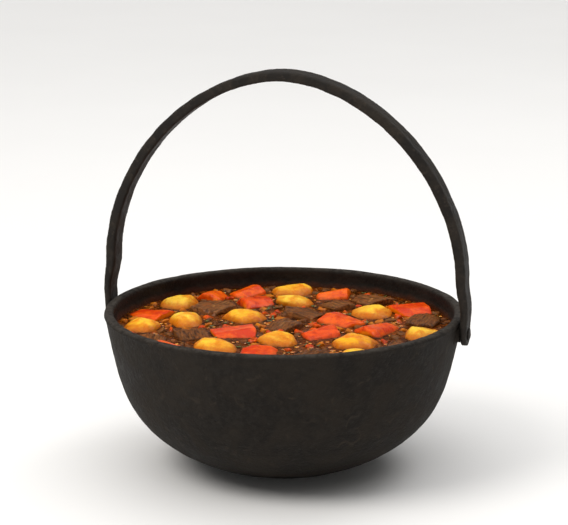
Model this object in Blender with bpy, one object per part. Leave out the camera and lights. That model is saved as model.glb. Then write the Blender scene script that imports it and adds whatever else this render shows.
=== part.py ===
"""A cast-iron cauldron of stew with a forged iron bail, standing on its flat base.

Metres, +Z up. The origin is the centre of the base, and the bail hinges about X.
"""

import itertools
import math
import random

import bmesh
import bpy
from mathutils import Euler, Matrix, Vector, noise

# The cauldron: a bowl whose sides lean in a little and turn in quickly to a small flat base.
RIM_RADIUS = 0.1585
POT_HEIGHT = 0.1415
BASE_RADIUS = 0.045
SIDE_TAPER = 0.174
SIDE_POWER = 4.8
CORNER_POWER = 1.23
WALL = 0.0065
FLOOR = 0.0075
LIP_WIDTH = 0.0102
LIP_DEPTH = 0.011
LIP_ROUND = 0.0026
PROFILE_STEPS = 8
TURN_STEPS = 38

# The bail: a flat bar, round at its ends, whose legs lean in a little to a slightly pointed arch.
PIVOT_BELOW_RIM = 0.0115
LEAN_ABOVE_RIM = 0.006
LEG_ABOVE_RIM = 0.036
BAIL_RISE = 0.1645
ARCH_INNER = 0.1545
ARCH_POWER = 1.85
BAR_WIDTH = 0.021
BAR_THICKNESS = 0.009
BAR_CHAMFER = 0.0015
BAIL_GAP = 0.0005
END_THICKNESS = 0.0056
THINNED_LENGTH = 0.055
END_TURNS = (80, 55, 28)
LEG_STEPS = 6
ARCH_STEPS = 14

# Each pivot: a boss on the wall and a rivet with a low domed head.
BOSS_RADIUS = 0.0078
BOSS_PROUD = 0.0005
RIVET_RADIUS = 0.0035
RIVET_DEPTH = 0.005
HEAD_RADIUS = 0.0058
HEAD_HEIGHT = 0.0018
RUNNING_GAP = 0.0004
ROUND_STEPS = 12

# The stew: broth up to its level, and what floats in it.
BROTH_BELOW_RIM = 0.019
GAP = 0.0004
PIT_GROWTH = 1.2 * GAP

# (distance from the axis, bearing of the first piece in degrees, the pieces in turn)
RINGS = (
    (
        0.1265,
        21.0,
        "beef pepper beef carrot potato carrot carrot potato pepper "
        "potato beef carrot beef potato carrot potato beef potato",
    ),
    (0.086, 4.0, "carrot potato beef potato carrot beef potato beef potato pepper beef potato"),
    (0.0465, 36.0, "carrot beef potato pepper potato carrot"),
    (0.0, 0.0, "beef"),
)

# Length, width and height of each kind, and how much of it stands above the broth.
POTATO = Vector((0.041, 0.035, 0.025))
CARROT = Vector((0.036, 0.030, 0.024))
BEEF = Vector((0.036, 0.032, 0.024))
PEPPER = Vector((0.038, 0.031, 0.0055))
SHOWING = {"potato": 0.0078, "carrot": 0.0074, "beef": 0.0064, "pepper": 0.0054}
SMALLEST = 0.96
LARGEST = 1.25

# How boxy each lumpy kind is, from 2 for round, and how uneven, as a share of its size.
POTATO_SQUARENESS = 2.7
POTATO_BUMPS = 0.22
BEEF_SQUARENESS = 4.2
BEEF_BUMPS = 0.42

# (share of the half length, girth) along a carrot piece, and how much its ends slant.
CARROT_RINGS = ((-1, 0.80), (-0.84, 1.0), (0.84, 0.95), (1, 0.74))
CARROT_SIDES = 9
CARROT_SLANT = 0.20
CARROT_SLANT_CHANGE = 0.12

# How a piece of pepper bends, and how much its corners draw in.
PEPPER_BEND_RADIUS = 0.034
PEPPER_CORNER_PULL = 0.16
PEPPER_TAPER = 0.10

# How the pieces are strewn.
STREWING_SEED = 18
TILT = math.radians(9)
TURN = math.radians(40)
APART = 0.0016
SETTLING_PASSES = 700
BEARINGS = 48

RIM_TOP = POT_HEIGHT
PIVOT_HEIGHT = RIM_TOP - PIVOT_BELOW_RIM
BROTH_LEVEL = RIM_TOP - BROTH_BELOW_RIM
BOSS_FACE = RIM_RADIUS + BOSS_PROUD
BAIL_INNER = BOSS_FACE + BAIL_GAP


def clear_scene():
    for obj in list(bpy.data.objects):
        bpy.data.objects.remove(obj, do_unlink=True)


def material(name, colour, roughness, metallic=0.0):
    made = bpy.data.materials.new(name)
    made.use_nodes = True
    shader = made.node_tree.nodes["Principled BSDF"]
    shader.inputs["Base Color"].default_value = (*colour, 1.0)
    shader.inputs["Roughness"].default_value = roughness
    shader.inputs["Metallic"].default_value = metallic
    return made


def add_object(name, bm, finish, sharp_degrees=40):
    """Makes a named object from bm, with outward faces and smooth shading, and frees bm."""
    bmesh.ops.recalc_face_normals(bm, faces=bm.faces)
    mesh = bpy.data.meshes.new(name)
    bm.to_mesh(mesh)
    bm.free()
    mesh.shade_smooth()
    mesh.set_sharp_from_angle(angle=math.radians(sharp_degrees))
    mesh.materials.append(finish)
    obj = bpy.data.objects.new(name, mesh)
    bpy.context.scene.collection.objects.link(obj)
    return obj


def combine(obj, other, operation):
    """Applies a Boolean with other, which stays only as a hidden helper."""
    other.hide_render = True
    other.display_type = "WIRE"
    modifier = obj.modifiers.new(operation.title(), "BOOLEAN")
    modifier.operation = operation
    modifier.solver = "EXACT"
    modifier.object = other


def turned(profile, steps):
    """A closed solid turned about Z from (radius, height) points, with a flat face at each end.

    The middle of a facet, not an edge, lies towards +X.
    """
    bm = bmesh.new()
    start = Matrix.Rotation(math.pi / steps, 3, "Z")
    verts = [bm.verts.new(start @ Vector((radius, 0, height))) for radius, height in profile]
    edges = [bm.edges.new(pair) for pair in zip(verts, verts[1:])]
    bmesh.ops.spin(
        bm,
        geom=verts + edges,
        cent=(0, 0, 0),
        axis=(0, 0, 1),
        angle=math.tau,
        steps=steps,
        use_merge=True,
    )
    bmesh.ops.holes_fill(bm, edges=[edge for edge in bm.edges if edge.is_boundary])
    return bm


def cylinder_x(radius, start, end, height, side):
    """A cylinder along X at that height, from start to end, on the +X or -X side."""
    bm = bmesh.new()
    middle = Matrix.Translation((side * (start + end) / 2, 0, height))
    bmesh.ops.create_cone(
        bm,
        cap_ends=True,
        segments=ROUND_STEPS,
        radius1=radius,
        radius2=radius,
        depth=end - start,
        matrix=middle @ Matrix.Rotation(math.pi / 2, 4, "Y"),
    )
    return bm


def bowl_profile(rim_radius, base_radius, top, bottom):
    """Points up one face of the bowl, from its base to its top, closest together where it turns in."""
    points = []
    for step in range(PROFILE_STEPS + 1):
        depth = math.cos(math.pi / 2 * step / PROFILE_STEPS)
        side = rim_radius * (1 - SIDE_TAPER * depth) - base_radius
        radius = base_radius + side * (1 - depth**SIDE_POWER) ** (1 / CORNER_POWER)
        points.append((radius, top + (bottom - top) * depth))
    return points


def inner_profile():
    return bowl_profile(RIM_RADIUS - WALL, BASE_RADIUS - WALL / 2, RIM_TOP, FLOOR)


def inner_radius(level):
    """The radius of the bowl's inner face at that height."""
    points = inner_profile()
    high = next(i for i, point in enumerate(points) if point[1] > level)
    low = high - 1
    share = (level - points[low][1]) / (points[high][1] - points[low][1])
    return points[low][0] + share * (points[high][0] - points[low][0])


def lip_profile():
    """From the outside in: the lip's two rounded edges, then its inner face back to the wall."""
    inner = RIM_RADIUS - LIP_WIDTH
    points = []
    for centre, start in ((RIM_RADIUS - LIP_ROUND, 0), (inner + LIP_ROUND, 90)):
        for turn in (0, 45, 90):
            angle = math.radians(start + turn)
            up = LIP_ROUND * math.sin(angle)
            points.append((centre + LIP_ROUND * math.cos(angle), RIM_TOP - LIP_ROUND + up))
    low = RIM_TOP - LIP_DEPTH
    return points + [(inner, RIM_TOP - LIP_DEPTH / 2), (inner_radius(low), low)]


def make_pot(finish):
    outside = bowl_profile(RIM_RADIUS, BASE_RADIUS, RIM_TOP, 0.0)[:-1]
    inside = inner_profile()[:-1]
    pot = add_object("cauldron", turned(outside + lip_profile() + inside[::-1], TURN_STEPS), finish)
    boss_root = RIM_RADIUS - WALL
    for side, word in ((-1, "left"), (1, "right")):
        boss = cylinder_x(BOSS_RADIUS, boss_root, BOSS_FACE, PIVOT_HEIGHT, side)
        combine(pot, add_object(f"boss_{word}", boss, finish), "UNION")
        seat = cylinder_x(
            RIVET_RADIUS + GAP,
            BOSS_FACE - RIVET_DEPTH - GAP,
            BOSS_FACE + HEAD_HEIGHT,
            PIVOT_HEIGHT,
            side,
        )
        combine(pot, add_object(f"rivet_seat_{word}", seat, finish), "DIFFERENCE")


def make_rivet(side, word, finish):
    shank_end = BOSS_FACE - RIVET_DEPTH
    head_start = BAIL_INNER + END_THICKNESS + RUNNING_GAP
    profile = [(RIVET_RADIUS, shank_end), (RIVET_RADIUS, head_start)]
    for turn in range(0, 76, 25):
        angle = math.radians(turn)
        profile.append(
            (HEAD_RADIUS * math.cos(angle), head_start + HEAD_HEIGHT * math.sin(angle))
        )
    rivet = add_object(f"rivet_{word}", turned(profile, ROUND_STEPS), finish)
    rivet.rotation_euler = (0, side * math.pi / 2, 0)
    rivet.location = (0, 0, PIVOT_HEIGHT)


def leg_station(height):
    """(point on a leg's inner face, outward direction), upright by the rim and leaning in above it."""
    length = LEG_ABOVE_RIM - LEAN_ABOVE_RIM
    share = min(1.0, max(0.0, (height - RIM_TOP - LEAN_ABOVE_RIM) / length))
    lean = BAIL_INNER - ARCH_INNER
    point = Vector((BAIL_INNER - lean * share * share * (3 - 2 * share), 0, height))
    outward = Vector((1, 0, lean / length * 6 * share * (1 - share)))
    return point, outward.normalized()


def bail_stations():
    """(point on the bar's inner face, outward direction) from one end of the bail to the other."""
    heights = [PIVOT_HEIGHT - BAR_WIDTH / 2 * math.sin(math.radians(turn)) for turn in END_TURNS]
    arch_height = RIM_TOP + LEG_ABOVE_RIM
    leg = arch_height - PIVOT_HEIGHT
    heights += [PIVOT_HEIGHT + leg * step / LEG_STEPS for step in range(LEG_STEPS)]
    half = [leg_station(height) for height in heights]
    for step in range(ARCH_STEPS + 1):
        angle = math.pi / 2 * step / ARCH_STEPS
        across = math.cos(angle) if step < ARCH_STEPS else 0.0
        up = math.sin(angle)
        point = Vector((ARCH_INNER * across ** (2 / ARCH_POWER), 0, BAIL_RISE * up ** (2 / ARCH_POWER)))
        point.z += arch_height
        steepness = 2 - 2 / ARCH_POWER
        outward = Vector((across**steepness / ARCH_INNER, 0, up**steepness / BAIL_RISE))
        half.append((point, outward.normalized()))
    mirrored = [(Vector((-p.x, 0, p.z)), Vector((-o.x, 0, o.z))) for p, o in half[-2::-1]]
    return half + mirrored


def bar_section(point, outward):
    """The bar's section there, a rectangle with cut corners, thinner towards the end of the bail."""
    above_hinge = point.z - PIVOT_HEIGHT
    near = min(1.0, max(0.0, 1 - above_hinge / THINNED_LENGTH))
    blend = near * near * (3 - 2 * near)
    thickness = BAR_THICKNESS + (END_THICKNESS - BAR_THICKNESS) * blend
    half_width = math.sqrt((BAR_WIDTH / 2) ** 2 - min(above_hinge, 0.0) ** 2)
    chamfer = min(BAR_CHAMFER, half_width / 2)
    corners = (
        (half_width - chamfer, 0),
        (half_width, chamfer),
        (half_width, thickness - chamfer),
        (half_width - chamfer, thickness),
    )
    section = [point + outward * out + Vector((0, across, 0)) for across, out in corners]
    return section + [Vector((p.x, -p.y, p.z)) for p in section[::-1]]


def loft(rings):
    """A closed solid skinned over rings of equally many points."""
    bm = bmesh.new()
    loops = [[bm.verts.new(point) for point in ring] for ring in rings]
    count = len(loops[0])
    for low, high in zip(loops, loops[1:]):
        for i in range(count):
            j = (i + 1) % count
            bm.faces.new((low[i], low[j], high[j], high[i]))
    bm.faces.new(loops[0][::-1])
    bm.faces.new(loops[-1])
    return bm


def make_bail(finish):
    bar = loft([bar_section(point, outward) for point, outward in bail_stations()])
    bail = add_object("bail", bar, finish)
    for side, word in ((-1, "left"), (1, "right")):
        hole_ends = (BOSS_FACE, BAIL_INNER + 2 * END_THICKNESS)
        hole = cylinder_x(RIVET_RADIUS + RUNNING_GAP, *hole_ends, PIVOT_HEIGHT, side)
        combine(bail, add_object(f"eye_{word}", hole, finish), "DIFFERENCE")


def make_lumpy(bm, size, squareness, bumps, seed):
    """Blows bm up to a block, round at squareness 2 and boxy at 6, with bumps as a share of it."""
    shift = Vector((seed * 7.3, seed * 3.1, seed * 5.7))
    for vert in bm.verts:
        along = vert.co.normalized()
        reach = sum(abs(value) ** squareness for value in along) ** (-1 / squareness)
        reach *= 1 + bumps * noise.noise(along * 1.6 + shift)
        vert.co = Vector(along[k] * reach * size[k] / 2 for k in range(3))


def potato_piece(seed):
    bm = bmesh.new()
    bmesh.ops.create_icosphere(bm, subdivisions=2, radius=1.0)
    make_lumpy(bm, POTATO, POTATO_SQUARENESS, POTATO_BUMPS, seed)
    return bm


def beef_piece(seed):
    bm = bmesh.new()
    bmesh.ops.create_cube(bm, size=2.0)
    bmesh.ops.subdivide_edges(bm, edges=bm.edges, cuts=1, use_grid_fill=True)
    make_lumpy(bm, BEEF, BEEF_SQUARENESS, BEEF_BUMPS, seed)
    return bm


def carrot_piece(seed):
    """A roll-cut length of carrot along X: both ends slant, and it tapers."""
    slant = CARROT_SLANT + CARROT_SLANT_CHANGE * math.sin(seed * 2.4)
    rings = []
    for share, grow in CARROT_RINGS:
        ring = []
        for side in range(CARROT_SIDES):
            angle = math.tau * side / CARROT_SIDES
            across = CARROT.y / 2 * grow * math.cos(angle)
            up = CARROT.z / 2 * grow * math.sin(angle)
            along = share * (CARROT.x / 2 - slant * abs(share) * (CARROT.y / 2 - across * share))
            ring.append(Vector((along, across, up)))
        rings.append(ring)
    return loft(rings)


def pepper_piece(seed):
    """A square of pepper wall, bent over a cylinder along Y, with its corners rounded."""
    bm = bmesh.new()
    bmesh.ops.create_cube(bm, size=2.0)
    flat = [edge for edge in bm.edges if edge.verts[0].co.z == edge.verts[1].co.z]
    bmesh.ops.subdivide_edges(bm, edges=flat, cuts=2, use_grid_fill=True)
    taper = PEPPER_TAPER * math.sin(seed * 1.9)
    for vert in bm.verts:
        u, v, w = vert.co
        pull = 1 - PEPPER_CORNER_PULL * (u * v) ** 2
        radius = PEPPER_BEND_RADIUS + w * PEPPER.z / 2
        bend = u * pull * PEPPER.x / 2 / PEPPER_BEND_RADIUS
        rise = radius * math.cos(bend) - PEPPER_BEND_RADIUS
        vert.co = Vector((radius * math.sin(bend), v * pull * PEPPER.y / 2 * (1 + taper * u), rise))
    return bm


SHAPES = {
    "potato": potato_piece,
    "carrot": carrot_piece,
    "beef": beef_piece,
    "pepper": pepper_piece,
}


def float_piece(bm, kind, bearing, chance):
    """Sizes and turns bm to lie roughly along its ring, with its highest point above the broth."""
    size = chance.uniform(SMALLEST, LARGEST)
    tilt = Euler((chance.uniform(-TILT, TILT), chance.uniform(-TILT, TILT), 0))
    turn = Matrix.Rotation(bearing + math.pi / 2 + chance.uniform(-TURN, TURN), 4, "Z")
    placing = turn @ tilt.to_matrix().to_4x4() @ Matrix.Scale(size, 4)
    bmesh.ops.transform(bm, matrix=placing, verts=bm.verts)
    highest = max(vert.co.z for vert in bm.verts)
    rise = BROTH_LEVEL + SHOWING[kind] - highest
    bmesh.ops.translate(bm, vec=(0, 0, rise), verts=bm.verts)


def settle(centres, shapes):
    """Pushes the pieces apart and in from the wall, until a line would pass between any two."""
    half_turn = BEARINGS // 2
    turns = [math.pi * k / half_turn for k in range(BEARINGS)]
    ways = [Vector((math.cos(turn), math.sin(turn))) for turn in turns]
    reaches = [[max(point.xy.dot(way) for point in shape) for way in ways] for shape in shapes]
    opposite = [reach[half_turn:] + reach[:half_turn] for reach in reaches]
    walls = [[inner_radius(point.z) - APART for point in shape] for shape in shapes]
    for _ in range(SETTLING_PASSES):
        for i, j in itertools.combinations(range(len(centres)), 2):
            apart = centres[j] - centres[i]
            if apart.length > max(reaches[i]) + max(reaches[j]):
                continue
            spans = zip(reaches[i], opposite[j], ways)
            gap, best = max((apart.dot(way) - one - other, k) for k, (one, other, way) in enumerate(spans))
            if gap < APART:
                push = ways[best] * (APART - gap) / 2
                centres[i] -= push
                centres[j] += push
        for centre, shape, wall in zip(centres, shapes, walls):
            beyond = max((centre + p.xy).length - limit for p, limit in zip(shape, wall))
            if beyond > 0:
                centre -= centre.normalized() * beyond


def make_food(finishes):
    """The floating pieces, one object each, and one mesh of their pits in the broth."""
    chance = random.Random(STREWING_SEED)
    shapes = []
    centres = []
    for distance, first, kinds in RINGS:
        kinds = kinds.split()
        for place, kind in enumerate(kinds):
            bearing = math.radians(first) + math.tau * place / len(kinds)
            bm = SHAPES[kind](len(shapes))
            bmesh.ops.triangulate(bm, faces=bm.faces)
            float_piece(bm, kind, bearing, chance)
            shapes.append((kind, bm))
            centres.append(Vector((distance * math.cos(bearing), distance * math.sin(bearing))))
    settle(centres, [[vert.co.copy() for vert in bm.verts] for _, bm in shapes])

    pits = bmesh.new()
    counts = dict.fromkeys(SHAPES, 0)
    for (kind, bm), centre in zip(shapes, centres):
        counts[kind] += 1
        bmesh.ops.translate(bm, vec=centre.to_3d(), verts=bm.verts)
        piece = add_object(f"{kind}_{counts[kind]:02d}", bm, finishes[kind])
        add_pit(pits, piece.data)
    return pits


def add_pit(pits, mesh):
    """Adds the piece's own shape to pits, grown by the gap on every side."""
    bm = bmesh.new()
    bm.from_mesh(mesh)
    bm.normal_update()
    grown = [vert.co + vert.normal * PIT_GROWTH for vert in bm.verts]
    for vert, point in zip(bm.verts, grown):
        vert.co = point
    shape = bpy.data.meshes.new("pit")
    bm.to_mesh(shape)
    bm.free()
    pits.from_mesh(shape)


def make_broth(pits, finish):
    """The bowl's inner face less the gap, up to the broth's level, with the pits cut out."""
    points = [(radius - GAP, height + GAP) for radius, height in inner_profile()]
    below = [point for point in points if point[1] < BROTH_LEVEL - GAP]
    surface = (inner_radius(BROTH_LEVEL) - GAP, BROTH_LEVEL)
    broth = add_object("broth", turned(below + [surface], TURN_STEPS), finish)
    combine(broth, add_object("pits", pits, finish), "DIFFERENCE")


def main():
    clear_scene()
    cast_iron = material("cast_iron", (0.018, 0.015, 0.012), 0.62, 0.6)
    forged_iron = material("forged_iron", (0.020, 0.016, 0.012), 0.55, 0.7)
    finishes = {
        "potato": material("potato", (0.75, 0.42, 0.05), 0.35),
        "carrot": material("carrot", (0.80, 0.11, 0.01), 0.32),
        "beef": material("beef", (0.14, 0.05, 0.02), 0.45),
        "pepper": material("pepper", (0.66, 0.03, 0.01), 0.25),
    }
    make_pot(cast_iron)
    make_bail(forged_iron)
    make_rivet(-1, "left", forged_iron)
    make_rivet(1, "right", forged_iron)
    pits = make_food(finishes)
    make_broth(pits, material("broth", (0.16, 0.04, 0.01), 0.15))


main()
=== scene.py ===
"""Looks of the cauldron of stew: blackened iron, broth, and every piece of food in detail.

Metres, +Z up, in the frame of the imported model.
"""

import math
import random

import bmesh
import bpy
import numpy as np
from mathutils import Matrix, Vector, noise
from mathutils.bvhtree import BVHTree
from mathutils.kdtree import KDTree


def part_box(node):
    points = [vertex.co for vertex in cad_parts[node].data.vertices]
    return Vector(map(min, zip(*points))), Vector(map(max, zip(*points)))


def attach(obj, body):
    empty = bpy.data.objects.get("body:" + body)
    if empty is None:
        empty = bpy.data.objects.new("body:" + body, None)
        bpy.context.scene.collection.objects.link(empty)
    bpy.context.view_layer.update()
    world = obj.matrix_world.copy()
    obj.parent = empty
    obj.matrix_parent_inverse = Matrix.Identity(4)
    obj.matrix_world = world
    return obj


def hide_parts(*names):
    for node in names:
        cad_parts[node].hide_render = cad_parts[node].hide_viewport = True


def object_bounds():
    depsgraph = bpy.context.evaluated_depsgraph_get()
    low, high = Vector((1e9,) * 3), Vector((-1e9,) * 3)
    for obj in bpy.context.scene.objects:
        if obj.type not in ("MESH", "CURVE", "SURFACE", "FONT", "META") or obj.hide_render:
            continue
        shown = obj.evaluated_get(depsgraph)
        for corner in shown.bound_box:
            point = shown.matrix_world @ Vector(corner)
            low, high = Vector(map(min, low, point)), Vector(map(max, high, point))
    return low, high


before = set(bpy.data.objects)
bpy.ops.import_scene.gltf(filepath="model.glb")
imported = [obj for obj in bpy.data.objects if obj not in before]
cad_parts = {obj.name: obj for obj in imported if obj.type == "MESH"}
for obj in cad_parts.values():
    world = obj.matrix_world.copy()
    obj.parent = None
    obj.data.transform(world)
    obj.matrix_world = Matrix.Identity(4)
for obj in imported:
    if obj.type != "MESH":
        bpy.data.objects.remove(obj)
cad_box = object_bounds()

# The cauldron's sizes that its box does not give, and how finely it is turned.
BASE_RADIUS = 0.045
SIDE_TAPER = 0.174
SIDE_POWER = 4.8
CORNER_POWER = 1.23
WALL = 0.0065
FLOOR = 0.0075
LIP_WIDTH = 0.0102
LIP_DEPTH = 0.011
LIP_ROUND = 0.0038
LIP_STEPS = 8
POT_STEPS = 360
OUTER_STEPS = 90
INNER_STEPS = 40

# A casting's unevenness as (depth, wavelength, shift), and how far it keeps inside its true face.
CASTING_LUMPS = ((0.00045, 0.034, 0), (0.00022, 0.011, 5), (0.00012, 0.0042, 9))
CASTING_MARGIN = 0.0007

# How far inside their boxes the rim and the rivets' heads are made.
SKIN = 0.0002

# The bail's and its hinge's sizes that their boxes do not give.
PIVOT_BELOW_RIM = 0.0115
LEAN_ABOVE_RIM = 0.006
LEG_ABOVE_RIM = 0.036
ARCH_INNER = 0.1545
ARCH_POWER = 1.85
BAR_WIDTH = 0.021
BAR_THICKNESS = 0.009
BAR_CHAMFER = 0.0015
END_THICKNESS = 0.0055
THINNED_LENGTH = 0.055
BAIL_STEPS = 72
BAIL_VOXEL = 0.0010
HAMMERED = 0.0005
HAMMER_FLAT = (0.015, 0.011, 0.015)
HOLE_RADIUS = 0.0040
BAIL_GAP = 0.0005
BOSS_RADIUS = 0.0078
BOSS_FILLET = 0.0030
BOSS_EDGE = 0.0010
SHANK_RADIUS = 0.0034
HEAD_RADIUS = 0.0057
HEAD_HEIGHT = 0.0018
HEAD_EDGE = 0.0004
HEAD_STEPS = 11
ROUND_STEPS = 40

# For each kind of food: the size of its faces, and how often its edges are smoothed.
KINDS = {"potato": (0.00105, 14), "carrot": (0.0010, 7), "beef": (0.00085, 9), "pepper": (0.0008, 7)}

# A potato's knife cuts: how many, their depth as a share of it, and how soft their edges are.
KNIFE_CUTS = 6
KNIFE_DEPTH = 0.12
KNIFE_SOFTNESS = 0.0011

# How high above its level the broth colours a piece, fully and then not at all, and how raggedly. The
# higher, stained band is partly a broth stain and partly painted shade on the lower sides of the
# potatoes.
DYED = (0.0010, 0.0046)
STAIN_AND_PAINTED_SHADE = (0.0040, 0.0090)
RAGGED = 0.0034

# The broth: its ripples, how high it creeps up the food and the wall, and how far out from them.
RIPPLE = 0.00035
MENISCUS = 0.0011
CREEP_AT_FOOD = 0.0019
CREEP_AT_WALL = 0.0022
BROTH_CELL = 0.00125
BROTH_SIDE_STEPS = 7

# How many small things there may be, the sizes of diced scraps, and how much of those shows.
SCRAPS = 190
THREADS = 60
FLAKES = 80
BEADS = 420
SCRAP_LEAST = 0.0060
SCRAP_MOST = 0.0095
BEEF_SCRAP_MOST = 0.0100
SCRAP_SHOWING = 0.0030
THREAD_WIDTH = 0.0016
FLAKE_THICKNESS = 0.00025

# The camera, from the middle of the rim, and how far above the object's middle it looks.
VIEW_AZIMUTH = math.radians(17)
CAMERA_BACK = 1.77
CAMERA_ABOVE_RIM = 0.457
AIM_ABOVE_MIDDLE = 0.006
LENS = 132

FLOOR_HALF = 9.0

# (sine of the elevation, brightness) of the surroundings, from the horizon up.
SKY = ((0.0, 0.90), (0.11, 0.90), (0.23, 0.14), (0.50, 0.14), (0.97, 1.95))

pot_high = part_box("cauldron")[1]
bail_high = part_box("bail")[1]
RIM_TOP = pot_high.z
RIM_RADIUS = pot_high.y
BROTH_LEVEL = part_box("broth")[1].z
PIVOT_HEIGHT = RIM_TOP - PIVOT_BELOW_RIM
BOSS_FACE = pot_high.x
BAIL_INNER = BOSS_FACE + BAIL_GAP
BAIL_RISE = bail_high.z - HAMMERED - BAR_THICKNESS - RIM_TOP - LEG_ABOVE_RIM


# --- Node trees ---------------------------------------------------------------


class Finish:
    """A material under construction, with a short call for each kind of node.

    A piece's materials may read its attributes own_place, a place within the piece, tint, a
    number from 0 to 1 that differs from piece to piece, core, 1 where its inside is laid bare,
    and the cauldron's inside, 1 on its inner face.
    """

    def __init__(self, name, **inputs):
        self.material = bpy.data.materials.new(name)
        self.material.use_nodes = True
        self.tree = self.material.node_tree
        self.shader = self.tree.nodes["Principled BSDF"]
        self.set(**inputs)
        self.place = self.node("ShaderNodeTexCoord").outputs["Object"]

    def plug(self, value, socket):
        if isinstance(value, bpy.types.NodeSocket):
            self.tree.links.new(value, socket)
        elif socket.type == "RGBA" and len(value) == 3:
            socket.default_value = (*value, 1.0)
        else:
            socket.default_value = value

    def node(self, kind, **inputs):
        made = self.tree.nodes.new(kind)
        for name, value in inputs.items():
            self.plug(value, made.inputs[name.replace("_", " ")])
        return made

    def set(self, **inputs):
        for name, value in inputs.items():
            self.plug(value, self.shader.inputs[name.replace("_", " ")])

    def stretched(self, factors, place=None):
        return self.node("ShaderNodeMapping", Vector=place or self.place, Scale=factors).outputs[0]

    def noise(self, scale, detail=3.0, rough=0.5, place=None, warp=0.0):
        made = self.node("ShaderNodeTexNoise", Vector=place or self.place, Scale=scale)
        for name, value in (("Detail", detail), ("Roughness", rough), ("Distortion", warp)):
            made.inputs[name].default_value = value
        return made.outputs["Fac"]

    def cells(self, scale, place=None):
        made = self.node("ShaderNodeTexVoronoi", Vector=place or self.place, Scale=scale)
        return made.outputs["Distance"]

    def span(self, value, low, high, to_low=0.0, to_high=1.0):
        """Takes value from low..high to to_low..to_high, smoothly and clamped."""
        made = self.tree.nodes.new("ShaderNodeMapRange")
        made.interpolation_type = "SMOOTHSTEP"
        for socket, number in zip(made.inputs, (value, low, high, to_low, to_high)):
            self.plug(number, socket)
        return made.outputs["Result"]

    def math(self, operation, first, second=0.0):
        made = self.tree.nodes.new("ShaderNodeMath")
        made.operation = operation
        self.plug(first, made.inputs[0])
        self.plug(second, made.inputs[1])
        return made.outputs[0]

    def mix(self, share, first, second):
        made = self.tree.nodes.new("ShaderNodeMix")
        made.data_type = "RGBA"
        self.plug(share, made.inputs[0])
        self.plug(first, made.inputs[6])
        self.plug(second, made.inputs[7])
        return made.outputs[2]

    def bump(self, height, distance, over=None):
        made = self.node("ShaderNodeBump", Height=height, Distance=distance, Strength=1.0)
        if over is not None:
            self.plug(over, made.inputs["Normal"])
        return made.outputs["Normal"]

    def height(self):
        """The height above the surface that the object stands on."""
        return self.node("ShaderNodeSeparateXYZ", Vector=self.place).outputs["Z"]

    def attribute(self, name, output):
        made = self.tree.nodes.new("ShaderNodeAttribute")
        made.attribute_name = name
        return made.outputs[output]


# --- Mesh tools ---------------------------------------------------------------


def add_piece(name, mesh, finish, body, replaced=()):
    """A shown piece of that mesh, which moves with a body and stands for CAD nodes."""
    mesh.shade_smooth()
    mesh.materials.clear()
    mesh.materials.append(finish)
    obj = bpy.data.objects.new(name, mesh)
    bpy.context.scene.collection.objects.link(obj)
    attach(obj, body)
    if replaced:
        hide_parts(*replaced)
    return obj


def mesh_of(verts, faces, name="shape"):
    mesh = bpy.data.meshes.new(name)
    mesh.from_pydata([tuple(vert) for vert in verts], [], faces)
    mesh.update()
    return mesh


def from_bmesh(bm, name="shape"):
    mesh = bpy.data.meshes.new(name)
    bm.to_mesh(mesh)
    bm.free()
    return mesh


def read(values, field, size=3):
    flat = np.empty(len(values) * size, np.float32)
    values.foreach_get(field, flat)
    return flat.reshape(-1, size).astype(float)


def move_points(mesh, points):
    mesh.vertices.foreach_set("co", points.astype(np.float32).ravel())
    mesh.update()


def push_out(mesh, amounts):
    """Moves each point of the mesh along its normal by its amount."""
    normals = read(mesh.vertex_normals, "vector")
    move_points(mesh, read(mesh.vertices, "co") + normals * amounts[:, None])


def store(mesh, name, values):
    """Keeps one number or one vector for each point, for the materials to read."""
    values = np.asarray(values, np.float32)
    kind, field = ("FLOAT", "value") if values.ndim == 1 else ("FLOAT_VECTOR", "vector")
    mesh.attributes.new(name, kind, "POINT").data.foreach_set(field, values.ravel())


def lumps(points, wavelength, shift=0.0):
    """Noise from about -1 to 1 at each point, whose lumps are roughly a wavelength across."""
    moved = points / np.asarray(wavelength) + (shift, shift * 0.37, -shift)
    return np.array([noise.noise(Vector(point)) for point in moved])


def turned(profile, steps):
    """Verts and faces of a closed solid turned about Z from (radius, height) points."""
    turns = np.linspace(0, math.tau, steps, endpoint=False)
    verts = []
    for radius, height in profile:
        verts.extend(zip(radius * np.cos(turns), radius * np.sin(turns), [height] * steps))
    faces = []
    for low in range(0, (len(profile) - 1) * steps, steps):
        for k in range(steps):
            after = (k + 1) % steps
            faces.append((low + k, low + after, low + steps + after, low + steps + k))
    last = (len(profile) - 1) * steps
    faces.append(tuple(range(steps))[::-1])
    faces.append(tuple(range(last, last + steps)))
    return verts, faces


def arc(centre, radius, start, end, steps):
    """(across, up) points round a centre, with both angles in degrees."""
    points = []
    for step in range(steps + 1):
        angle = math.radians(start + (end - start) * step / steps)
        points.append((centre[0] + radius * math.cos(angle), centre[1] + radius * math.sin(angle)))
    return points


def modified(mesh, *modifiers):
    """A new mesh, which is the old one after (kind, settings) modifiers."""
    holder = bpy.data.objects.new("holder", mesh)
    bpy.context.scene.collection.objects.link(holder)
    for kind, settings in modifiers:
        made = holder.modifiers.new(kind, kind)
        for name, value in settings.items():
            setattr(made, name, value)
    graph = bpy.context.evaluated_depsgraph_get()
    result = bpy.data.meshes.new_from_object(holder.evaluated_get(graph), depsgraph=graph)
    bpy.data.objects.remove(holder)
    return result


# --- Iron ---------------------------------------------------------------------


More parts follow.
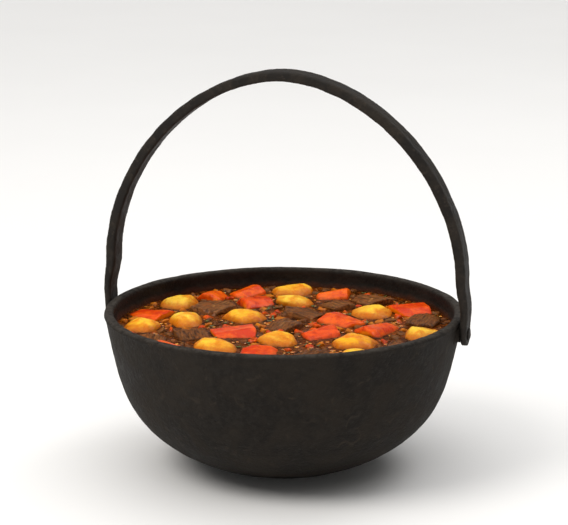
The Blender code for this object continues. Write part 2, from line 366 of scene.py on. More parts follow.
def cast_iron_finish():
    """Sooty cast iron, finely pitted, worn on the lip and stained inside where stew has dried."""
    f = Finish("sooty_cast_iron")
    f.shader.inputs["Specular IOR Level"].default_value = 0.14
    cloud = f.noise(30, 5, 0.62, warp=0.6)
    grain = f.noise(210, 4, 0.65)
    blotch = f.noise(75, 3, 0.55, warp=1.2)
    colour = f.mix(f.span(cloud, 0.36, 0.66), (0.0085, 0.0066, 0.0050), (0.0200, 0.0158, 0.0120))
    colour = f.mix(f.span(blotch, 0.58, 0.74, 0, 0.6), colour, (0.036, 0.027, 0.019))
    colour = f.mix(f.span(grain, 0.42, 0.68, 0, 0.5), colour, (0.022, 0.0185, 0.0150))

    height = f.height()
    edge = f.span(height, RIM_TOP - 0.0030, RIM_TOP - 0.0006)
    worn = f.math("MULTIPLY", edge, f.span(grain, 0.35, 0.6, 0, 0.55))
    colour = f.mix(worn, colour, (0.056, 0.048, 0.040))

    tide = f.math("ADD", height, f.math("MULTIPLY", f.noise(55, 4, 0.6), 0.009))
    stain = f.span(tide, BROTH_LEVEL + 0.0055, BROTH_LEVEL + 0.0115, 1, 0)
    stain = f.math("MULTIPLY", stain, f.attribute("inside", "Fac"))
    colour = f.mix(f.math("MULTIPLY", stain, 0.85), colour, (0.060, 0.016, 0.005))
    rough = f.span(cloud, 0.3, 0.7, 0.66, 0.88)
    rough = f.math("SUBTRACT", rough, f.math("MULTIPLY", stain, 0.42))

    pits = f.span(f.cells(330), 0.0, 0.42)
    bump = f.bump(f.noise(900, 3, 0.6), 0.00022)
    bump = f.bump(pits, 0.00030, bump)
    bump = f.bump(grain, 0.0011, bump)
    f.set(Base_Color=colour, Roughness=rough, Normal=bump)
    return f.material


def forged_iron_finish():
    """Fire-scaled forged iron: dull black scale, with brown where it has rubbed off."""
    f = Finish("forged_iron")
    f.shader.inputs["Specular IOR Level"].default_value = 0.2
    cloud = f.noise(60, 5, 0.6, warp=0.8)
    streak = f.noise(240, 3, 0.6)
    colour = f.mix(f.span(cloud, 0.38, 0.64), (0.0090, 0.0070, 0.0052), (0.0220, 0.0172, 0.0128))
    colour = f.mix(f.span(streak, 0.56, 0.74, 0, 0.6), colour, (0.040, 0.030, 0.022))
    bump = f.bump(f.noise(700, 3, 0.6), 0.00025)
    bump = f.bump(streak, 0.0009, bump)
    f.set(Base_Color=colour, Roughness=f.span(cloud, 0.3, 0.7, 0.56, 0.8), Normal=bump)
    return f.material


def bowl_profile(rim_radius, base_radius, top, bottom, depths):
    """(radius, height) points up one face of the bowl, at shares of its depth."""
    points = []
    for depth in depths:
        side = rim_radius * (1 - SIDE_TAPER * depth) - base_radius
        radius = base_radius + side * (1 - depth**SIDE_POWER) ** (1 / CORNER_POWER)
        points.append((radius, top + (bottom - top) * depth))
    return points


def inner_wall(depths):
    return bowl_profile(RIM_RADIUS - WALL, BASE_RADIUS - WALL / 2, RIM_TOP, FLOOR, depths)


def inner_radius(height):
    return inner_wall([(RIM_TOP - height) / (RIM_TOP - FLOOR)])[0][0]


def make_pot(finish):
    """The cauldron at full smoothness, with the gentle unevenness of a sand casting."""
    rim = RIM_RADIUS - SKIN
    flat = [(BASE_RADIUS * share, 0.0) for share in (0.08, 0.45, 0.8, 0.96)]
    turns = [math.pi / 2 * step / OUTER_STEPS for step in range(OUTER_STEPS)]
    lip_bottom = LIP_ROUND / RIM_TOP
    depths = [depth for depth in map(math.cos, turns) if depth > lip_bottom]
    outside = bowl_profile(rim, BASE_RADIUS, RIM_TOP, 0.0, depths)
    inner_lip = RIM_RADIUS - LIP_WIDTH
    lip = arc((rim - LIP_ROUND, RIM_TOP - LIP_ROUND), LIP_ROUND, 0, 90, LIP_STEPS)
    lip += arc((inner_lip + LIP_ROUND, RIM_TOP - LIP_ROUND), LIP_ROUND, 90, 180, LIP_STEPS)
    lip.append((inner_lip, RIM_TOP - LIP_DEPTH / 2))
    first = LIP_DEPTH / (RIM_TOP - FLOOR)
    shares = [step / INNER_STEPS for step in range(INNER_STEPS + 1)]
    inside = inner_wall([first + (1 - first) * share for share in shares])
    mesh = mesh_of(*turned(flat + outside + lip + inside, POT_STEPS))

    points = read(mesh.vertices, "co")
    relief = sum(depth * lumps(points, length, shift) for depth, length, shift in CASTING_LUMPS)
    # The relief fades out at the flat base, and inside the bowl under the broth.
    high = np.clip((points[:, 2] - 0.001) / 0.012, 0, 1)
    seen = np.clip((points[:, 2] - BROTH_LEVEL + 0.004) / 0.002, 0, 1)
    outer = np.arange(len(points)) < (len(flat) + len(outside) + len(lip) - 1) * POT_STEPS
    push_out(mesh, (relief - CASTING_MARGIN) * np.where(outer, high, seen))
    store(mesh, "inside", np.where(outer, 0, 1))
    return add_piece("cast_cauldron", mesh, finish, "pot", ["cauldron"])


def towards(side):
    """Turns +Z towards +X or -X, and moves it up to the hinge's height."""
    return Matrix.Translation((0, 0, PIVOT_HEIGHT)) @ Matrix.Rotation(side * math.pi / 2, 4, "Y")


def make_bosses(finish):
    """The two cast bosses that carry the rivets, each running out into the wall in a fillet."""
    root = RIM_RADIUS - WALL
    corner = (BOSS_RADIUS + BOSS_FILLET, root + 0.002 + BOSS_FILLET)
    below_edge = BOSS_FACE - 0.0001 - BOSS_EDGE
    fillet = arc(corner, BOSS_FILLET, 270, 180, 6)
    profile = [(BOSS_RADIUS + BOSS_FILLET, root)]
    profile += [point for point in fillet if point[1] < below_edge - 0.0001]
    profile += arc((BOSS_RADIUS - BOSS_EDGE, below_edge), BOSS_EDGE, 0, 90, 3)
    verts, faces = turned(profile, ROUND_STEPS)
    all_verts, all_faces = [], []
    for side in (-1, 1):
        start = len(all_verts)
        all_verts += [towards(side) @ Vector(vert) for vert in verts]
        all_faces += [tuple(start + k for k in face) for face in faces]
    return add_piece("hinge_bosses", mesh_of(all_verts, all_faces), finish, "pot")


def make_rivet(side, word, finish):
    """A rivet closed by hand, so that its dome is a little faceted and off round."""
    low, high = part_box(f"rivet_{word}")
    end = max(abs(low.x), abs(high.x)) - SKIN
    start = min(abs(low.x), abs(high.x))
    under = end - HEAD_HEIGHT
    profile = [(SHANK_RADIUS, start), (SHANK_RADIUS, under), (HEAD_RADIUS - 1.5 * HEAD_EDGE, under)]
    for step in range(HEAD_STEPS):
        angle = math.pi / 2 * step / HEAD_STEPS
        dome = HEAD_EDGE + (HEAD_HEIGHT - HEAD_EDGE) * math.sin(angle)
        profile.append((HEAD_RADIUS * math.cos(angle), under + dome))
    mesh = mesh_of(*turned(profile, ROUND_STEPS))
    points = read(mesh.vertices, "co")
    head = np.clip((points[:, 2] - under) / 0.0005, 0, 1)
    push_out(mesh, head * (0.00022 * lumps(points, 0.0038, 3 * side) - 0.0002))
    mesh.transform(towards(side))
    return add_piece(f"domed_rivet_{word}", mesh, finish, "pot", [f"rivet_{word}"])


def leg_station(height):
    """(point on a leg's inner face, outward direction), upright by the rim and leaning in above it."""
    length = LEG_ABOVE_RIM - LEAN_ABOVE_RIM
    share = min(1.0, max(0.0, (height - RIM_TOP - LEAN_ABOVE_RIM) / length))
    lean = BAIL_INNER - ARCH_INNER
    point = Vector((BAIL_INNER - lean * share * share * (3 - 2 * share), 0, height))
    outward = Vector((1, 0, lean / length * 6 * share * (1 - share)))
    return point, outward.normalized()


def bail_stations(steps):
    """(point on the bar's inner face, outward direction) from one end of the bail to the other."""
    arch = RIM_TOP + LEG_ABOVE_RIM
    turns = [math.pi / 2 * step / steps for step in range(steps)]
    heights = [PIVOT_HEIGHT - BAR_WIDTH / 2 * math.cos(turn) for turn in turns[1::4]]
    leg_steps = steps // 4
    heights += [PIVOT_HEIGHT + (arch - PIVOT_HEIGHT) * k / leg_steps for k in range(leg_steps)]
    half = [leg_station(height) for height in heights]
    bend = 2 / ARCH_POWER
    for turn in turns:
        across, up = math.cos(turn), math.sin(turn)
        point = Vector((ARCH_INNER * across**bend, 0, arch + BAIL_RISE * up**bend))
        outward = Vector((across ** (2 - bend) / ARCH_INNER, 0, up ** (2 - bend) / BAIL_RISE))
        half.append((point, outward.normalized()))
    half.append((Vector((0, 0, arch + BAIL_RISE)), Vector((0, 0, 1))))
    return half + [(Vector((-p.x, 0, p.z)), Vector((-o.x, 0, o.z))) for p, o in half[-2::-1]]


def bar_section(point, outward):
    """The bar's section there, which thins towards the hinge and rounds off below it."""
    above_hinge = point.z - PIVOT_HEIGHT
    near = min(1.0, max(0.0, 1 - above_hinge / THINNED_LENGTH))
    blend = near * near * (3 - 2 * near)
    thickness = BAR_THICKNESS + (END_THICKNESS - BAR_THICKNESS) * blend
    half_width = math.sqrt((BAR_WIDTH / 2) ** 2 - min(above_hinge, 0.0) ** 2)
    chamfer = min(BAR_CHAMFER, half_width / 2)
    corners = (
        (half_width - chamfer, 0),
        (half_width, chamfer),
        (half_width, thickness - chamfer),
        (half_width - chamfer, thickness),
    )
    section = [point + outward * out + Vector((0, across, 0)) for across, out in corners]
    return section + [Vector((p.x, -p.y, p.z)) for p in section[::-1]]


def make_bail(finish):
    """The forged bar with a hole through each end, and hammer flats along it."""
    bm = bmesh.new()
    loops = [[bm.verts.new(point) for point in bar_section(*at)] for at in bail_stations(BAIL_STEPS)]
    for low, high in zip(loops, loops[1:]):
        for i in range(len(low)):
            j = (i + 1) % len(low)
            bm.faces.new((low[i], low[j], high[j], high[i]))
    bm.faces.new(loops[0][::-1])
    bm.faces.new(loops[-1])
    bmesh.ops.recalc_face_normals(bm, faces=bm.faces)
    far = BAIL_INNER + 4 * END_THICKNESS
    axle = bpy.data.objects.new("axle", mesh_of(*turned([(HOLE_RADIUS, -far), (HOLE_RADIUS, far)], 48)))
    axle.matrix_world = towards(1)
    bpy.context.scene.collection.objects.link(axle)
    fused = modified(
        from_bmesh(bm),
        ("BOOLEAN", {"operation": "DIFFERENCE", "solver": "EXACT", "object": axle}),
        ("REMESH", {"mode": "VOXEL", "voxel_size": BAIL_VOXEL, "adaptivity": 0.0}),
        ("SMOOTH", {"factor": 0.5, "iterations": 4}),
    )
    bpy.data.objects.remove(axle)
    points = read(fused.vertices, "co")
    flats = np.minimum(lumps(points, HAMMER_FLAT, 2), 0.15)
    relief = HAMMERED * (1.1 * flats + 0.3 * lumps(points, 0.0035, 7))
    at_hinge = (np.abs(points[:, 0]) < BAIL_INNER + 0.002) & (points[:, 2] < RIM_TOP + 0.004)
    push_out(fused, np.where(at_hinge, 0.3 * relief, relief))
    return add_piece("forged_bail", fused, finish, "bail", ["bail"])


# --- Food ---------------------------------------------------------------------


def broth_dye_and_shade(f, colour, dye=(0.16, 0.034, 0.002), amount=0.8, stain=None):
    """Colours a piece by the broth's dye where the two meet, and by any stain above that. That stain is
    partly a broth stain and partly painted shade that darkens the piece's lower sides.
    """
    ragged = f.math("ADD", f.height(), f.math("MULTIPLY", f.noise(230, 2, 0.5), RAGGED))
    if stain is not None:
        # Painted shade and broth stain: a darker band over the lower sides of the piece.
        share = f.span(ragged, *(BROTH_LEVEL + height for height in STAIN_AND_PAINTED_SHADE), 0.9, 0.0)
        colour = f.mix(share, colour, stain)
    line = f.span(ragged, *(BROTH_LEVEL + height for height in DYED), amount, 0.0)
    return f.mix(line, colour, dye)


def potato_finish():
    """Boiled potato: mealy, bright yellow on top and darker orange lower down, partly a broth stain and
    partly painted shade.
    """
    f = Finish("cooked_potato", IOR=1.4)
    f.set(Subsurface_Weight=0.2, Subsurface_Scale=0.003, Coat_Weight=0.1, Coat_Roughness=0.16)
    f.shader.inputs["Specular IOR Level"].default_value = 0.12
    f.shader.inputs["Subsurface Radius"].default_value = (1.0, 0.55, 0.12)
    own = f.attribute("own_place", "Vector")
    tint = f.attribute("tint", "Fac")
    soft = f.noise(80, 4, 0.55, own, 0.5)
    pale = f.mix(tint, (0.92, 0.44, 0.010), (0.94, 0.65, 0.07))
    deep = f.mix(tint, (0.72, 0.175, 0.002), (0.78, 0.32, 0.008))
    colour = f.mix(f.span(soft, 0.34, 0.60), deep, pale)
    colour = f.mix(f.span(f.noise(420, 3, 0.6, own), 0.58, 0.78, 0, 0.4), colour, (0.95, 0.70, 0.16))
    bump = f.bump(f.noise(1100, 4, 0.65, own), 0.00035)
    bump = f.bump(f.noise(330, 3, 0.6, own), 0.0008, bump)
    # The stain colour is partly a broth stain and partly painted shade on the potato's lower sides.
    colour = broth_dye_and_shade(f, colour, stain=(0.52, 0.125, 0.002))
    f.set(Base_Color=colour, Roughness=f.span(soft, 0.3, 0.7, 0.34, 0.5), Normal=bump)
    return f.material


def carrot_finish():
    """Cooked carrot: red-orange flesh, with a paler core on its cut ends and a fine grain."""
    f = Finish("cooked_carrot", IOR=1.4)
    f.set(Subsurface_Weight=0.15, Subsurface_Scale=0.002, Coat_Weight=0.14, Coat_Roughness=0.14)
    f.shader.inputs["Specular IOR Level"].default_value = 0.12
    f.shader.inputs["Subsurface Radius"].default_value = (1.0, 0.25, 0.06)
    own = f.attribute("own_place", "Vector")
    tint = f.attribute("tint", "Fac")
    soft = f.noise(105, 4, 0.6, own, 0.6)
    flesh = f.mix(tint, (0.72, 0.050, 0.0006), (0.82, 0.130, 0.001))
    deep = f.mix(tint, (0.44, 0.014, 0.0004), (0.62, 0.054, 0.0008))
    colour = f.mix(f.span(soft, 0.36, 0.60), deep, flesh)
    rays = f.noise(900, 3, 0.6, f.stretched((1, 0.35, 0.35), own))
    colour = f.mix(f.span(rays, 0.56, 0.74, 0, 0.4), colour, (0.84, 0.19, 0.003))
    core = f.attribute("core", "Fac")
    colour = f.mix(f.math("MULTIPLY", core, 0.7), colour, (0.86, 0.26, 0.005))
    bump = f.bump(f.noise(800, 3, 0.6, f.stretched((1, 0.3, 0.3), own)), 0.0004)
    f.set(Base_Color=broth_dye_and_shade(f, colour), Roughness=f.span(soft, 0.3, 0.7, 0.26, 0.42), Normal=bump)
    return f.material


def beef_finish():
    """Braised beef: brown, grained along its fibres, with redder and paler strands."""
    f = Finish("braised_beef", IOR=1.4)
    f.set(Subsurface_Weight=0.08, Subsurface_Scale=0.002, Coat_Weight=0.12, Coat_Roughness=0.2)
    f.shader.inputs["Specular IOR Level"].default_value = 0.12
    f.shader.inputs["Subsurface Radius"].default_value = (1.0, 0.3, 0.12)
    own = f.attribute("own_place", "Vector")
    tint = f.attribute("tint", "Fac")
    fibres = f.noise(560, 4, 0.65, f.stretched((0.09, 1, 1), own), 0.4)
    soft = f.noise(95, 3, 0.6, own, 0.8)
    dark = f.mix(tint, (0.040, 0.012, 0.0025), (0.076, 0.024, 0.005))
    light = f.mix(tint, (0.17, 0.057, 0.011), (0.26, 0.096, 0.023))
    colour = f.mix(f.span(fibres, 0.36, 0.64), dark, light)
    colour = f.mix(f.span(soft, 0.48, 0.72, 0, 0.6), colour, (0.28, 0.075, 0.012))
    fat = f.noise(75, 2, 0.5, f.stretched((0.5, 1, 1), own), 1.0)
    colour = f.mix(f.span(fat, 0.66, 0.74, 0, 0.6), colour, (0.44, 0.20, 0.05))
    bump = f.bump(f.noise(1500, 3, 0.6, own), 0.0003)
    bump = f.bump(fibres, 0.0011, bump)
    colour = broth_dye_and_shade(f, colour, (0.08, 0.020, 0.002), 0.6)
    f.set(Base_Color=colour, Roughness=f.span(soft, 0.3, 0.7, 0.36, 0.56), Normal=bump)
    return f.material


def pepper_finish():
    """Red pepper: a smooth glossy skin over paler orange-red flesh."""
    f = Finish("cooked_pepper", IOR=1.45)
    f.set(Subsurface_Weight=0.12, Subsurface_Scale=0.002, Coat_Weight=0.08, Coat_Roughness=0.1)
    f.shader.inputs["Specular IOR Level"].default_value = 0.12
    f.shader.inputs["Subsurface Radius"].default_value = (1.0, 0.2, 0.04)
    own = f.attribute("own_place", "Vector")
    soft = f.noise(100, 3, 0.5, own, 0.4)
    skin = f.mix(f.span(soft, 0.36, 0.64), (0.56, 0.030, 0.0004), (0.78, 0.088, 0.0005))
    skin = f.mix(f.span(f.noise(300, 3, 0.6, own), 0.58, 0.76, 0, 0.5), skin, (0.82, 0.165, 0.002))
    colour = f.mix(f.attribute("core", "Fac"), skin, (0.82, 0.17, 0.003))
    bump = f.bump(f.noise(420, 3, 0.5, own), 0.0004)
    f.set(Base_Color=broth_dye_and_shade(f, colour, amount=0.45), Roughness=0.30, Normal=bump)
    return f.material


def own_axes(points):
    """A centre and three axes, longest first, of a cloud of points."""
    centre = points.mean(0)
    _, axes = np.linalg.eigh(np.cov((points - centre).T))
    axes = axes[:, ::-1].copy()
    if np.linalg.det(axes) < 0:
        axes[:, 2] *= -1
    return centre, axes


def refined(node, voxel, rounding):
    """The CAD piece's shape in small even faces, with its edges rounded and its size kept."""
    bm = bmesh.new()
    bm.from_mesh(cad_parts[node].data)
    bmesh.ops.remove_doubles(bm, verts=bm.verts, dist=1e-6)
    before = np.array([vert.co for vert in bm.verts])
    mesh = modified(
        from_bmesh(bm, f"{node}_detail"),
        ("REMESH", {"mode": "VOXEL", "voxel_size": voxel, "adaptivity": 0.0}),
        ("SMOOTH", {"factor": 0.5, "iterations": rounding}),
    )
    points = read(mesh.vertices, "co")
    low, high = points.min(0), points.max(0)
    share = (before.max(0) - before.min(0)) / (high - low)
    move_points(mesh, (before.max(0) + before.min(0)) / 2 + (points - (low + high) / 2) * share)
    return mesh


def knife_cuts(local, chance):
    """Flattens a piece against planes round it, as a knife leaves it, softly at the edges."""
    for _ in range(KNIFE_CUTS):
        turn = chance.uniform(0, math.tau)
        rise = chance.uniform(-0.25, 0.75)
        across = math.sqrt(1 - rise * rise)
        way = np.array((math.cos(turn) * across, math.sin(turn) * across, rise))
        reach = local @ way
        limit = reach.max() * (1 - chance.uniform(0.4, 1.0) * KNIFE_DEPTH)
        beyond = np.logaddexp(0, (reach - limit) / KNIFE_SOFTNESS) * KNIFE_SOFTNESS
        local -= beyond[:, None] * way
    return local


def potato_relief(local, shift):
    return 0.00042 * lumps(local, 0.0075, shift) + 0.00022 * lumps(local, 0.0026, shift)


def carrot_relief(local, shift):
    """Broad unevenness, and fine rings round the root."""
    rings = (0.0022, 0.02, 0.02)
    return 0.00030 * lumps(local, 0.009, shift) + 0.00016 * lumps(local, rings, shift)


def beef_relief(local, shift):
    """Fibres along the piece, clefts where they part, and broad unevenness."""
    fibres = 0.00062 * lumps(local, (0.020, 0.0021, 0.0021), shift)
    clefts = 0.0011 * np.maximum(lumps(local, (0.011, 0.005, 0.005), shift), 0.1)
    return fibres - clefts + 0.0006 * lumps(local, 0.008, shift)


def pepper_relief(local, shift):
    return 0.00030 * lumps(local, 0.010, shift) + 0.00010 * lumps(local, 0.003, shift)


RELIEFS = {
    "potato": potato_relief,
    "carrot": carrot_relief,
    "beef": beef_relief,
    "pepper": pepper_relief,
}


def make_chunk(kind, node, finish, number):
    """One piece of food in detail, in place of its CAD node."""
    chance = random.Random(number * 17 + len(kind))
    mesh = refined(node, *KINDS[kind])
    points = read(mesh.vertices, "co")
    centre, axes = own_axes(read(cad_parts[node].data.vertices, "co"))
    if kind == "potato":
        points = centre + knife_cuts(points - centre, chance)
        move_points(mesh, points)
    local = (points - centre) @ axes
    shift = chance.uniform(0, 40)
    push_out(mesh, RELIEFS[kind](local, shift))

    store(mesh, "own_place", local + shift)
    store(mesh, "tint", np.full(len(local), chance.random()))
    if kind == "carrot":
        along = np.abs(local[:, 0])
        ends = np.clip((along / along.max() - 0.78) / 0.12, 0, 1)
        radius = np.hypot(local[:, 1], local[:, 2])
        store(mesh, "core", ends * np.clip((0.60 - radius / radius.max()) / 0.12, 0, 1))
    elif kind == "pepper":
        normals = read(mesh.vertex_normals, "vector")
        store(mesh, "core", np.clip((0.45 - normals[:, 2]) / 0.3, 0, 1))
    return add_piece(f"cooked_{node}", mesh, finish, "pot", [node])


# --- Broth and what floats in it ----------------------------------------------


class Surface:
    """What stands out of the broth, for keeping small things clear of it."""

    def __init__(self, chunks):
        verts, faces, waterline = [], [], []
        for chunk in chunks:
            start = len(verts)
            points = read(chunk.data.vertices, "co")
            verts.extend(points)
            faces.extend([tuple(start + k for k in face.vertices) for face in chunk.data.polygons])
            waterline.extend(points[np.abs(points[:, 2] - BROTH_LEVEL) < 0.0008])
        self.tree = BVHTree.FromPolygons([tuple(v) for v in verts], faces)
        self.edge = KDTree(len(waterline))
        for index, point in enumerate(waterline):
            self.edge.insert((point[0], point[1], 0), index)
        self.edge.balance()
        self.wall = inner_radius(BROTH_LEVEL)

    def covered(self, x, y):
        hit = self.tree.ray_cast((x, y, RIM_TOP), (0, 0, -1))[0]
        return hit is not None and hit.z > BROTH_LEVEL - 0.001

    def distance(self, x, y):
        """How far it is from there to the nearest piece's edge."""
        return self.edge.find((x, y, 0))[2]

    def spots(self, count, clear, apart, seed):
        """Places on open broth, clear of the food, of the wall and of each other."""
        chance = random.Random(seed)
        found = []
        for _ in range(count * 60):
            if len(found) == count:
                break
            radius = (self.wall - clear) * math.sqrt(chance.random())
            turn = chance.uniform(0, math.tau)
            x, y = radius * math.cos(turn), radius * math.sin(turn)
            if self.distance(x, y) < clear or self.covered(x, y):
                continue
            if all((x - a) ** 2 + (y - b) ** 2 > apart**2 for a, b in found):
                found.append((x, y))
        return found


def broth_finish():
    """A thick orange-brown broth, brighter where its oil gathers."""
    f = Finish("stew_broth", IOR=1.36)
    f.set(Coat_Weight=0.08, Coat_Roughness=0.08, Subsurface_Weight=0.1, Subsurface_Scale=0.003)
    f.shader.inputs["Specular IOR Level"].default_value = 0.12
    f.shader.inputs["Subsurface Radius"].default_value = (1.0, 0.3, 0.05)
    cloud = f.noise(38, 5, 0.6, warp=1.4)
    swirl = f.noise(120, 4, 0.6, warp=2.0)
    colour = f.mix(f.span(cloud, 0.36, 0.60), (0.022, 0.006, 0.0006), (0.105, 0.022, 0.001))
    colour = f.mix(f.span(swirl, 0.50, 0.68, 0, 0.7), colour, (0.30, 0.066, 0.002))
    colour = f.mix(f.span(f.noise(520, 3, 0.6), 0.60, 0.74, 0, 0.4), colour, (0.42, 0.12, 0.004))
    bump = f.bump(f.noise(420, 3, 0.55), 0.00045)
    f.set(Base_Color=colour, Roughness=f.span(swirl, 0.35, 0.65, 0.20, 0.36), Normal=bump)
    return f.material


def make_broth(surface, finish):
    """The broth up to its level, which creeps up every piece and the wall."""
    edge_radius = surface.wall + WALL / 3
    cells = int(2 * edge_radius / BROTH_CELL)
    bm = bmesh.new()
    bmesh.ops.create_grid(bm, x_segments=cells, y_segments=cells, size=edge_radius)
    outside = [vert for vert in bm.verts if vert.co.length > edge_radius]
    bmesh.ops.delete(bm, geom=outside, context="VERTS")
    rim = [edge for edge in bm.edges if edge.is_boundary]
    for vert in {vert for edge in rim for vert in edge.verts}:
        vert.co *= edge_radius / vert.co.length
    for step in range(1, BROTH_SIDE_STEPS + 1):
        turn = math.pi / 2 * step / BROTH_SIDE_STEPS
        height = BROTH_LEVEL * (1 - math.sin(turn)) + FLOOR * 1.1
        height = min(height, BROTH_LEVEL - 0.004 * step)
        made = bmesh.ops.extrude_edge_only(bm, edges=rim)["geom"]
        rim = [item for item in made if isinstance(item, bmesh.types.BMEdge)]
        rim = [edge for edge in rim if edge.is_boundary]
        radius = inner_radius(height) + WALL / 3 if height > FLOOR * 1.2 else BASE_RADIUS - WALL
        for vert in {vert for edge in rim for vert in edge.verts}:
            flat = vert.co.xy.normalized() * radius
            vert.co = (flat.x, flat.y, height - BROTH_LEVEL)
    bmesh.ops.holes_fill(bm, edges=rim)
    bmesh.ops.recalc_face_normals(bm, faces=bm.faces)
    mesh = from_bmesh(bm)

    points = read(mesh.vertices, "co")
    top = points[:, 2] > -1e-6
    rise = RIPPLE * lumps(points, 0.024) + RIPPLE * 0.5 * lumps(points, 0.009, 4)
    food = np.array([surface.distance(x, y) for x, y, _ in points])
    wall = np.maximum(surface.wall - np.hypot(points[:, 0], points[:, 1]), 0)
    rise += MENISCUS * np.exp(-food / CREEP_AT_FOOD) + MENISCUS * 1.2 * np.exp(-wall / CREEP_AT_WALL)
    points[:, 2] += BROTH_LEVEL + np.where(top, rise - MENISCUS * 0.4, 0)
    move_points(mesh, points)
    return add_piece("stew_broth_surface", mesh, finish, "pot", ["broth"])


def scattered(name, spots, make, finish, seed):
    """One piece made of a small solid at each spot. make(chance) gives its verts and faces."""
    chance = random.Random(seed)
    verts, faces, own, tints = [], [], [], []
    for x, y in spots:
        small, small_faces = make(chance)
        start = len(verts)
        turn = Matrix.Rotation(chance.uniform(0, math.tau), 4, "Z")
        place = Matrix.Translation((x, y, BROTH_LEVEL)) @ turn
        shift = Vector((chance.uniform(0, 9), 0, 0))
        tint = chance.random()
        verts.extend(place @ Vector(vert) for vert in small)
        own.extend(Vector(vert) + shift for vert in small)
        tints.extend([tint] * len(small))
        faces.extend(tuple(start + k for k in face) for face in small_faces)
    mesh = mesh_of(verts, faces, name)
    store(mesh, "own_place", np.array(own))
    store(mesh, "tint", tints)
    return add_piece(name, mesh, finish, "pot")


def crumb(chance, most):
    """A small diced scrap with softened edges, tilted, of which only the top is out of the broth."""
    bm = bmesh.new()
    bmesh.ops.create_cube(bm, size=2.0)
    bmesh.ops.subdivide_edges(bm, edges=bm.edges, cuts=5, use_grid_fill=True)
    size = Vector([chance.uniform(SCRAP_LEAST, most) / 2 for _ in range(3)])
    shift = Vector((chance.uniform(0, 50), 0, 0))
    roll = Matrix.Rotation(chance.uniform(-0.6, 0.6), 3, "X")
    tilt = roll @ Matrix.Rotation(chance.uniform(-0.6, 0.6), 3, "Y")
    verts = []
    for vert in bm.verts:
        along = vert.co.normalized()
        reach = sum(abs(value) ** 6 for value in along) ** (-1 / 6)
        reach *= 1 + 0.30 * noise.noise(along * 1.3 + shift) + 0.06 * noise.noise(along * 4 + shift)
        verts.append(tilt @ Vector(along[k] * reach * size[k] for k in range(3)))
    faces = [tuple(vert.index for vert in face.verts) for face in bm.faces]
    bm.free()
    top = max(vert.z for vert in verts)
    lift = chance.uniform(0.6, 1.0) * SCRAP_SHOWING - top
    return [vert + Vector((0, 0, lift)) for vert in verts], faces


def shred(chance):
    """A thread of meat lying on the broth: a bent tapering tube."""
    length = chance.uniform(0.006, 0.014)
    bend = chance.uniform(-1.1, 1.1)
    steps, sides = 9, 7
    verts = []
    for step in range(steps + 1):
        share = step / steps
        angle = bend * (share - 0.5)
        centre = Vector((length * (share - 0.5), length * bend * (share - 0.5) ** 2, 0.0002))
        girth = THREAD_WIDTH / 2 * (0.25 + 0.75 * math.sin(math.pi * (0.08 + 0.84 * share)))
        for side in range(sides):
            around = math.tau * side / sides
            out = Vector((-math.sin(angle), math.cos(angle), 0)) * math.cos(around)
            verts.append(centre + (out + Vector((0, 0, 0.6 * math.sin(around)))) * girth)
    faces = []
    for low_ring in range(0, steps * sides, sides):
        for k in range(sides):
            after = (k + 1) % sides
            high_ring = low_ring + sides
            faces.append((low_ring + k, low_ring + after, high_ring + after, high_ring + k))
    faces.append(tuple(range(sides))[::-1])
    faces.append(tuple(range(steps * sides, (steps + 1) * sides)))
    return verts, faces


def flake(chance):
    """A torn scrap of leaf, cupped, as thick as paper."""
    radius = chance.uniform(0.0011, 0.0026)
    sides = 12
    cup = chance.uniform(0.15, 0.5)
    edges = []
    for side in range(sides):
        turn = math.tau * side / sides
        reach = radius * (1 + 0.35 * math.sin(3 * turn + chance.random()) + chance.uniform(-0.15, 0.15))
        edges.append(Vector((reach * math.cos(turn), 0.7 * reach * math.sin(turn), 0)))
    verts = []
    for lift in (0, FLAKE_THICKNESS):
        for share in (1.0, 0.5):
            for edge in edges:
                point = edge * share
                verts.append(point + Vector((0, 0, 0.0006 + lift + cup * point.x**2 / radius)))
    faces = []
    for side in range(sides):
        after = (side + 1) % sides
        faces.append((side, after, sides + after, sides + side)[::-1])
        faces.append((2 * sides + side, 2 * sides + after, 3 * sides + after, 3 * sides + side))
        faces.append((side, after, 2 * sides + after, 2 * sides + side))
    faces.append(tuple(range(sides, 2 * sides))[::-1])
    faces.append(tuple(range(3 * sides, 4 * sides)))
    return verts, faces


def bead(chance):
    """A lens of oil lying on the broth."""
    radius = 0.0006 + 0.0019 * chance.random() ** 2
    height = 0.16 * radius + 0.00012
    sides, rings = 18, 4
    verts = []
    for ring in range(rings):
        angle = math.pi / 2 * ring / rings
        across, up = radius * math.cos(angle), height * math.sin(angle)
        for side in range(sides):
            turn = math.tau * side / sides
            verts.append(Vector((across * math.cos(turn), across * math.sin(turn), up)))
    top = len(verts)
    verts.append(Vector((0, 0, height)))
    faces = []
    for low in range(0, (rings - 1) * sides, sides):
        for k in range(sides):
            after = (k + 1) % sides
            faces.append((low + k, low + after, low + sides + after, low + sides + k))
    last = (rings - 1) * sides
    faces += [(last + k, last + (k + 1) % sides, top) for k in range(sides)]
    faces.append(tuple(range(sides))[::-1])
    return verts, faces


def herb_finish():
    """Chopped herb, cooked to olive green."""
    f = Finish("cooked_herb", Roughness=0.4)
    f.set(Subsurface_Weight=0.1, Subsurface_Scale=0.001, Coat_Weight=0.3)
    own = f.attribute("own_place", "Vector")
    green = f.mix(f.attribute("tint", "Fac"), (0.045, 0.085, 0.012), (0.13, 0.17, 0.025))
    colour = f.mix(f.span(f.noise(900, 3, 0.6, own), 0.4, 0.65), green, (0.055, 0.075, 0.012))
    f.set(Base_Color=colour, Normal=f.bump(f.noise(1500, 2, 0.5, own), 0.0002))
    return f.material


